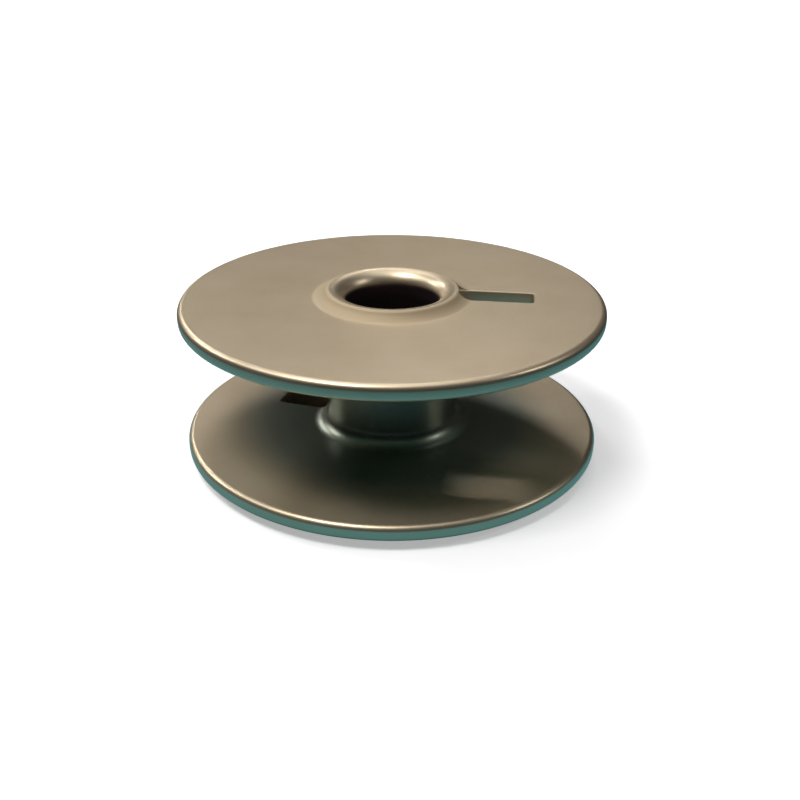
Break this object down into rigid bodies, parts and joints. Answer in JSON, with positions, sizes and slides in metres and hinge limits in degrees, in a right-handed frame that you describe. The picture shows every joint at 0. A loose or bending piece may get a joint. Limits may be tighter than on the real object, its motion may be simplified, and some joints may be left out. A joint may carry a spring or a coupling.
{
  "type": "sewing machine bobbin",
  "caption": "Metal sewing machine bobbin: flat round flanges on a tubular hub with a spindle bore, a narrow thread slot through each flange and rounded edges.",
  "frame": {"origin": "on the hub's axis, at the lower end of the hub, which the bobbin stands on", "axes": "+Z along the hub's axis, up; +X the way that the thread slot in the upper flange runs, outwards"},
  "size_m": [0.025, 0.025, 0.01],
  "materials": {
    "plated_steel": "satin nickel plate on steel"
  },
  "bodies": {
    "root": {"bobbin": "plated_steel"}
  },
  "joints": []
}
